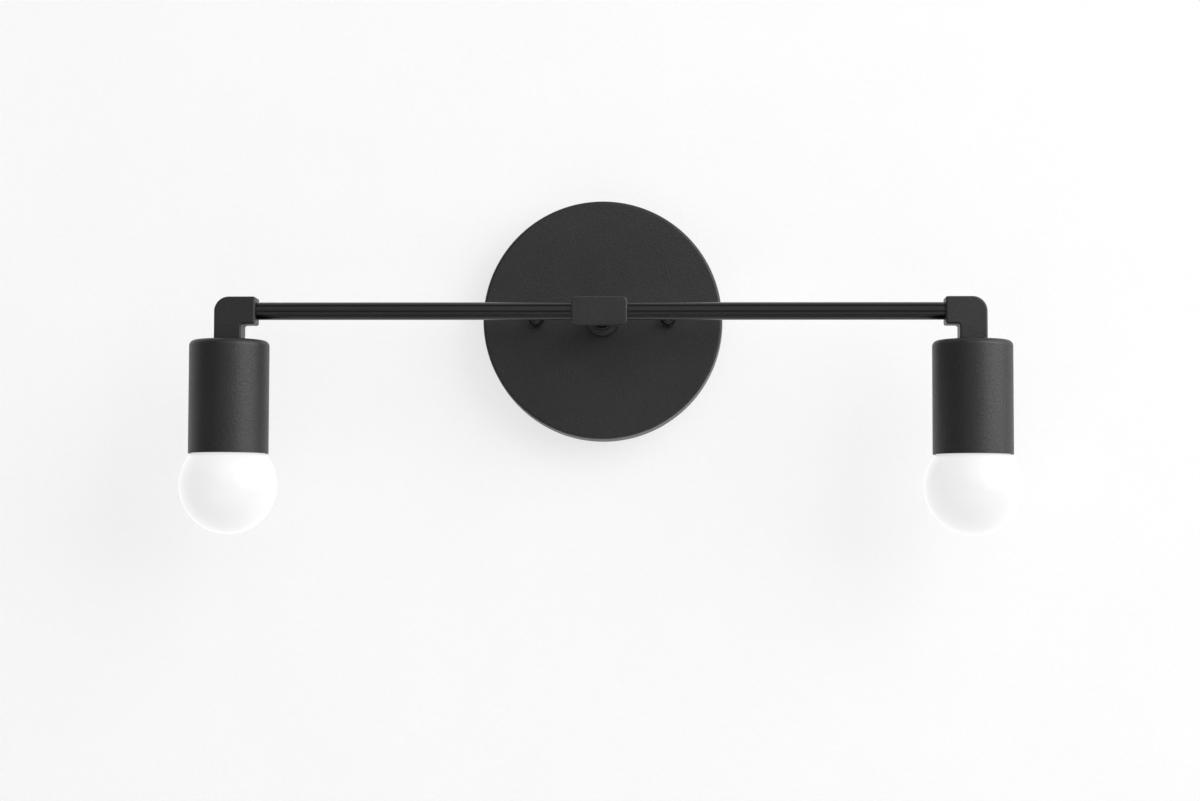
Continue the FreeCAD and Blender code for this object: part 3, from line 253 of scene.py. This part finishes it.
def glazedPorcelain():
    material, tree, shader, place, colour, _ = startFinish(porcelain)
    cells = addNode(tree, "ShaderNodeTexVoronoi", {"Vector": place, "Scale": 1 / (porcelain["cell"] * mm)})
    inner, outer = porcelain["speckEdge"]
    clean = addNode(tree, "ShaderNodeMapRange", {
        "Value": cells.outputs["Distance"], "From Min": inner, "From Max": outer})
    speckled = addNode(tree, "ShaderNodeMix", {
        "Factor": clean.outputs[0], "A": linear(porcelain["speck"]), "B": colour}, data_type="RGBA")
    tree.links.new(speckled.outputs["Result"], shader.inputs["Base Color"])
    return material


# Matt wall paint, rolled on plaster: near white with a soft stipple. The wall turns into a pale grey
# floor at the bottom. What the eye sees, straight or mirrored, is lit paint with a share of plain white,
# large on the wall and small on the floor, so that the shadows stay but are light.
wallPaint = {"name": "rolled_wall_paint", "shader": {"Roughness": 0.85, "Specular IOR Level": 0.15},
             "colours": ("#f8f8f8", "#fcfcfc"), "cloud": (60.0, 2.0, 0.5), "fine": (2.2, 3.0, 0.6),
             "depth": 0.14, "floor": "#c4c4c4",
             "turn": (-1.3, -1.0),     # heights where the floor's colour ends and the wall's starts, m
             "plain": (0.15, 0.7),     # shares of plain white on the floor and on the wall
             "white": (0.98, 1.0)}     # strength of that white over the stipple


def rolledPaint():
    material, tree, shader, place, paint, stipple = startFinish(wallPaint)
    height = addNode(tree, "ShaderNodeSeparateXYZ", {0: place}).outputs["Z"]
    low, high = wallPaint["turn"]
    upper = addNode(tree, "ShaderNodeMapRange", {
        "Value": height, "From Min": low, "From Max": high}).outputs[0]
    colour = addNode(tree, "ShaderNodeMix", {
        "Factor": upper, "A": linear(wallPaint["floor"]), "B": paint}, data_type="RGBA")
    tree.links.new(colour.outputs["Result"], shader.inputs["Base Color"])
    rays = addNode(tree, "ShaderNodeLightPath").outputs
    mirrored = addNode(tree, "ShaderNodeMath", {
        0: rays["Is Glossy Ray"], 1: rays["Is Transmission Ray"]}, operation="MAXIMUM").outputs[0]
    seen = addNode(tree, "ShaderNodeMath", {
        0: rays["Is Camera Ray"], 1: mirrored}, operation="MAXIMUM").outputs[0]
    onFloor, onWall = wallPaint["plain"]
    plainShare = addNode(tree, "ShaderNodeMapRange", {"Value": upper, "To Min": onFloor, "To Max": onWall})
    share = addNode(tree, "ShaderNodeMath", {0: seen, 1: plainShare.outputs[0]}, operation="MULTIPLY")
    dull, bright = wallPaint["white"]
    strength = addNode(tree, "ShaderNodeMapRange", {
        "Value": stipple, **noiseSpan, "To Min": dull, "To Max": bright})
    plain = addNode(tree, "ShaderNodeEmission", {"Strength": strength.outputs[0]})
    front = addNode(tree, "ShaderNodeMixShader", {
        0: share.outputs[0], 1: shader.outputs[0], 2: plain.outputs[0]})
    back = addNode(tree, "ShaderNodeNewGeometry").outputs["Backfacing"]
    clear = addNode(tree, "ShaderNodeBsdfTransparent")
    oneSided = addNode(tree, "ShaderNodeMixShader", {0: back, 1: front.outputs[0], 2: clear.outputs[0]})
    output = [n for n in tree.nodes if n.type == "OUTPUT_MATERIAL"][0]
    tree.links.new(oneSided.outputs[0], output.inputs["Surface"])
    return material


finishes = {
    "satin_black": makeFinish(powderCoat),
    "zinc_steel": makeFinish(zincPlate),
    "nickel_steel": makeFinish(nickelPlate),
    "green_screw": makeFinish(greenPlate),
    "brass": makeFinish(sheetBrass),
    "bulb_cap_metal": makeFinish(sheetAluminium),
    "solder": makeFinish(solderDrop),
    "frosted_glass": makeFinish(opalGlassAndPaintedGlow),
    "porcelain": glazedPorcelain(),
    "black_glass": makeFinish(blackGlass),
    "copper_wire": makeFinish(greenVinyl),
    "black_insulation": makeFinish(blackVinyl),
    "white_insulation": makeFinish(whiteVinyl),
    "green_plastic": makeFinish(greenNut),
    "orange_plastic": makeFinish(orangeNut),
}
smoothBlackAndPaintedShade = makeFinish(smoothCoatAndPaintedShade)
print("finishes made:", len(finishes) + 1)

for entry in frame["record"]["subparts"]:
    node = frame["nodes"][entry["node"]]
    node.data.materials.clear()
    # The tubes, the collar and the cap nuts take the darker smooth coat, whose colour paints the shade on the
    # collar and the cap nuts
    drawn = entry["node"].endswith(("_tube", "_collar", "cap_nuts"))
    node.data.materials.append(smoothBlackAndPaintedShade if drawn else finishes[entry["material_slot"]])


# Builds a mesh from a grid of points; columns may run round and close, and points that lie together
# merge. Edges that turn by more than so many degrees stay sharp.
mergeWithin = 0.0001 * mm


def addSurface(name, points, around=True, sharp=40):
    rows, columns = points.shape[:2]
    index = np.arange(rows * columns).reshape(rows, columns)
    if around:
        index = np.concatenate([index, index[:, :1]], axis=1)
    quads = np.stack([index[:-1, :-1], index[:-1, 1:], index[1:, 1:], index[1:, :-1]], axis=-1)
    mesh = bpy.data.meshes.new(name)
    mesh.from_pydata(points.reshape(-1, 3).tolist(), [], quads.reshape(-1, 4).tolist())
    shape = bmesh.new()
    shape.from_mesh(mesh)
    bmesh.ops.remove_doubles(shape, verts=shape.verts, dist=mergeWithin)
    if around:
        bmesh.ops.recalc_face_normals(shape, faces=shape.faces)
    shape.to_mesh(mesh)
    shape.free()
    mesh.shade_smooth()
    mesh.set_sharp_from_angle(angle=math.radians(sharp))
    piece = bpy.data.objects.new(name, mesh)
    bpy.context.scene.collection.objects.link(piece)
    return piece


# Wall and floor: one sheet that comes down the wall and sweeps forward in a quarter circle, so that on
# the bend depth = bend (1 - cos turn) and height = floor + bend (1 - sin turn); in metres
stageSetup = {"top": 1.6, "floor": -1.5, "bend": 0.5, "front": -9.0, "halfWidth": 8.0,
              "behind": 0.3 * mm, "rows": 25}


def makeStage():
    s = stageSetup
    turn = np.linspace(0, math.pi / 2, s["rows"])
    depth = np.concatenate([[s["behind"]], s["behind"] - s["bend"] * (1 - np.cos(turn)), [s["front"]]])
    height = np.concatenate([[s["top"]], s["floor"] + s["bend"] * (1 - np.sin(turn)), [s["floor"]]])
    points = np.empty((len(depth), 2, 3))
    points[:, :, 0] = (s["halfWidth"], -s["halfWidth"])
    points[:, :, 1] = depth[:, None]
    points[:, :, 2] = height[:, None]
    stage = addSurface("wall_and_floor", points, around=False)
    stage.data.materials.append(rolledPaint())


makeStage()
print("wall and floor made")


# Points on an arc about a centre, between two angles in degrees
def arc(centre, radius, start, end, count):
    turn = np.radians(np.linspace(start, end, count))
    return np.stack([centre[0] + radius * np.cos(turn), centre[1] + radius * np.sin(turn)], axis=1)


# A skin about Z whose radius differs along and around it: x = radius cos turn, y = radius sin turn
def skinAbout(radius, along):
    turn = np.linspace(0, 2 * math.pi, radius.shape[1], endpoint=False)[None, :]
    return np.stack([radius * np.cos(turn), radius * np.sin(turn), along[:, None] + 0 * radius], axis=-1)


# A profile of radius and height carried round Z
def lathe(profile, columns):
    profile = np.asarray(profile, float)
    return skinAbout(np.repeat(profile[:, :1], columns, axis=1), profile[:, 1])


# Turns a piece made along Z in millimetres so that it runs along another axis, and puts its start in
# place; each row says how one of the room's axes is made up of the piece's own
def standing(points, axis, place):
    rows = {"-Y": ((1, 0, 0), (0, 0, -1), (0, 1, 0)),
            "+X": ((0, 0, 1), (1, 0, 0), (0, 1, 0)),
            "-X": ((0, 0, -1), (-1, 0, 0), (0, 1, 0)),
            "+Z": ((1, 0, 0), (0, 1, 0), (0, 0, 1))}[axis]
    return points @ np.array(rows, float).T * mm + np.array(place)


# Gives a finished piece its finish and its body, and hides the solid that it stands for
def dressPiece(piece, finish, body, node):
    piece.data.materials.append(finishes[finish])
    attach(piece, body)
    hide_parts(node)


# Globe: a sphere that runs through a hollow arc into a straight neck, and the same again one thickness
# of glass further in. The arc touches both, so its centre lies at radius neck + blend and at height
# rise, where rise squared = (sphere + blend) squared - (neck + blend) squared.
globe = {"neck": 12.6, "blend": 7.5, "glass": 0.8, "columns": 160, "sphereRows": 96, "blendRows": 20}


def makeGlobe(side):
    low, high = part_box(f"{side}_bulb_globe")
    radius = (high.x - low.x) / 2 / mm
    top = (high.z - low.z) / mm - radius
    middle = globe["neck"] + globe["blend"]
    rise = math.sqrt((radius + globe["blend"]) ** 2 - middle ** 2)
    meet = math.degrees(math.atan2(rise, middle))
    walls = []
    for inset in (0, globe["glass"]):
        walls.append(np.concatenate([
            arc((0, 0), radius - inset, -90, meet, globe["sphereRows"]),
            arc((middle, rise), globe["blend"] + inset, 180 + meet, 180, globe["blendRows"])[1:],
            [[globe["neck"] - inset, top]],
        ]))
    profile = np.concatenate([walls[0], walls[1][::-1]])
    profile[np.isclose(profile[:, 0], 0), 0] = 0
    place = ((low.x + high.x) / 2, (low.y + high.y) / 2, low.z + radius * mm)
    points = standing(lathe(profile, globe["columns"]), "+Z", place)
    piece = addSurface(f"{side}_opal_globe", points)
    dressPiece(piece, "frosted_glass", f"{side}_bulb", f"{side}_bulb_globe")


# Thread: the radius falls from crest to root and rises again once in each pitch, and the wave moves
# along by one pitch in each turn. The wave is steeper than its pitch allows and is cut off at crest and
# root, which leaves them flat. Near both ends the radius is held under a cone.
thread = {"steps": 10, "steep": 1.3, "flat": 0.15, "sharp": 75}


def threadPoints(length, sizes, columns):
    pitch = sizes["pitch"]
    along = np.linspace(0, length, math.ceil(length / pitch * thread["steps"]) + 1)
    turn = np.linspace(0, 2 * math.pi, columns, endpoint=False)[None, :]
    wave = np.abs(((along[:, None] / pitch - turn / (2 * math.pi)) % 1) * 2 - 1)
    fall = sizes["depth"] * np.clip(wave * thread["steep"] - thread["flat"], 0, 1)
    cone = sizes["crest"] - sizes["bevel"] + np.minimum(along, length - along)
    return skinAbout(np.minimum(sizes["crest"] - fall, cone[:, None]), along)


# Studs: rods with a fine machine thread from end to end
stud = {"pitch": 0.7, "depth": 0.42, "bevel": 0.5, "columns": 48}


def makeStuds():
    low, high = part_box("canopy_studs")
    radius = (high.z - low.z) / 2
    length = (high.y - low.y) / mm
    for side, middle in (("left", -high.x + radius), ("right", high.x - radius)):
        rod = threadPoints(length, {**stud, "crest": radius / mm}, stud["columns"])
        ends = lathe([[0, 0], [0, length]], stud["columns"])
        rod = np.concatenate([ends[:1], rod, ends[1:]])
        piece = addSurface(f"{side}_threaded_stud", standing(rod, "-Y", (middle, high.y, 0)),
                           sharp=thread["sharp"])
        dressPiece(piece, "zinc_steel", "fixture", "canopy_studs")


# Pipe nipples: a coarse thread outside, a plain bore inside
nipple = {"pitch": 0.94, "depth": 0.5, "bevel": 0.45, "bore": 3.3, "columns": 64}


def makeNipple(node, axis):
    low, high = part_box(node)
    if axis == "-Y":
        length = (high.y - low.y) / mm
        place = ((low.x + high.x) / 2, high.y, 0)
    else:
        length = (high.z - low.z) / mm
        place = ((low.x + high.x) / 2, (low.y + high.y) / 2, low.z)
    skin = threadPoints(length, {**nipple, "crest": (high.x - low.x) / 2 / mm}, nipple["columns"])
    bore = lathe([[nipple["bore"], length], [nipple["bore"], 0]], nipple["columns"])
    loop = np.concatenate([skin, bore, skin[:1]])
    piece = addSurface(f"{node}_threaded", standing(loop, axis, place), sharp=thread["sharp"])
    dressPiece(piece, "zinc_steel", "fixture", node)


# Wire nuts: a moulded cone with a plain skirt at its mouth and ribs for the fingers; the ribs are
# valleys cut by a wave round the cone, which fade in after the skirt and out before the closed end
wireNut = {
    "mouth": 5.5, "tip": 3.6, "lip": 0.35, "round": 1.2,
    "ribs": 12, "valley": 0.55, "sharpness": 0.7, "fadeIn": 1.2, "fadeOut": 2.0,
    "skirt": 3.2, "groove": 0.2, "grooveWidth": 0.3,
    "wall": 1.0, "hollow": 0.75,      # thickness at the mouth, and the bore's share of the length
    "columns": 96, "rows": 60, "firstRow": 0.6, "roundRows": 8,
    "bores": {"black_wire_nut": 2.4, "white_wire_nut": 2.4, "ground_wire_nut": 1.25},
}


def makeWireNut(node, axis, finish):
    low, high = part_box(node)
    s = wireNut
    length = (high.x - low.x) / mm
    coneEnd = length - s["round"]
    along = np.concatenate([[0, s["lip"]], np.linspace(s["firstRow"], coneEnd, s["rows"])])
    cone = s["mouth"] + (s["tip"] - s["mouth"]) * along / length
    cone[0] -= s["lip"]
    fade = np.clip((along - s["skirt"]) / s["fadeIn"], 0, 1) * np.clip((coneEnd - along) / s["fadeOut"], 0, 1)
    turn = np.linspace(0, 2 * math.pi, s["columns"], endpoint=False)
    wave = (0.5 - 0.5 * np.cos(s["ribs"] * turn)) ** s["sharpness"]
    grooved = (along > s["skirt"] - s["grooveWidth"]) & (along < s["skirt"])
    core = cone - np.where(grooved, s["groove"], 0)
    skin = skinAbout(core[:, None] - s["valley"] * fade[:, None] * wave[None, :], along)
    end = arc((cone[-1] - s["round"], coneEnd), s["round"], 0, 90, s["roundRows"])[1:]
    bore = s["bores"][node]
    depth = length * s["hollow"]
    inside = [[0, depth], [bore, depth], [bore, s["wall"]], [bore + s["wall"], 0]]
    close = [*end, [0, length]]
    loop = np.concatenate([lathe(inside, s["columns"]), skin, lathe(close, s["columns"])])
    place = (low.x if axis == "+X" else high.x, (low.y + high.y) / 2, (low.z + high.z) / 2)
    piece = addSurface(f"{node}_ribbed", standing(loop, axis, place))
    dressPiece(piece, finish, "fixture", node)


# Hexagon nuts: the radius is a hexagon's, held under a cone at both faces where the corners are chamfered
hexNut = {"bevel": 0.9, "slope": 0.6, "edge": 0.1, "firstRow": 0.02, "boreEdge": 0.4,
          "columns": 96, "bevelRows": 10, "sharp": 25,
          "bores": {"stud_lock_nuts": 2.05, "stem_lock_nut": 4.9}}


def makeHexNuts(node, name, middles):
    low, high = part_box(node)
    s = hexNut
    half = (high.z - low.z) / 2 / mm
    height = (high.y - low.y) / mm
    turn = np.linspace(0, 2 * math.pi, s["columns"], endpoint=False)
    hexagon = half / np.cos(turn % (math.pi / 3) - math.pi / 6)
    along = np.concatenate([[0], np.linspace(s["firstRow"], s["bevel"], s["bevelRows"])])
    along = np.concatenate([along, height - along[::-1]])
    cone = half - s["edge"] + np.minimum(along, height - along) / s["slope"]
    skin = skinAbout(np.minimum(hexagon[None, :], cone[:, None]), along)
    bore = s["bores"][node]
    edge = s["boreEdge"]
    inside = [[bore + edge, height], [bore, height - edge], [bore, edge], [bore + edge, 0]]
    loop = np.concatenate([skin, lathe(inside, s["columns"]), skin[:1]])
    for index, middle in enumerate(middles):
        piece = addSurface(f"{name}_{index + 1}", standing(loop, "-Y", (middle, high.y, 0)), sharp=s["sharp"])
        dressPiece(piece, "zinc_steel", "fixture", node)


for side in ("left", "right"):
    makeGlobe(side)
    makeNipple(f"{side}_socket_nipple", "+Z")
makeStuds()
makeNipple("stem_nipple", "-Y")
makeWireNut("black_wire_nut", "+X", "orange_plastic")
makeWireNut("white_wire_nut", "-X", "orange_plastic")
makeWireNut("ground_wire_nut", "-X", "green_plastic")
studLow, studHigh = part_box("canopy_studs")
studPlace = studHigh.x - (studHigh.z - studLow.z) / 2
makeHexNuts("stud_lock_nuts", "stud_lock_nut", (-studPlace, studPlace))
makeHexNuts("stem_lock_nut", "stem_nut", (0,))
print("fine pieces made")
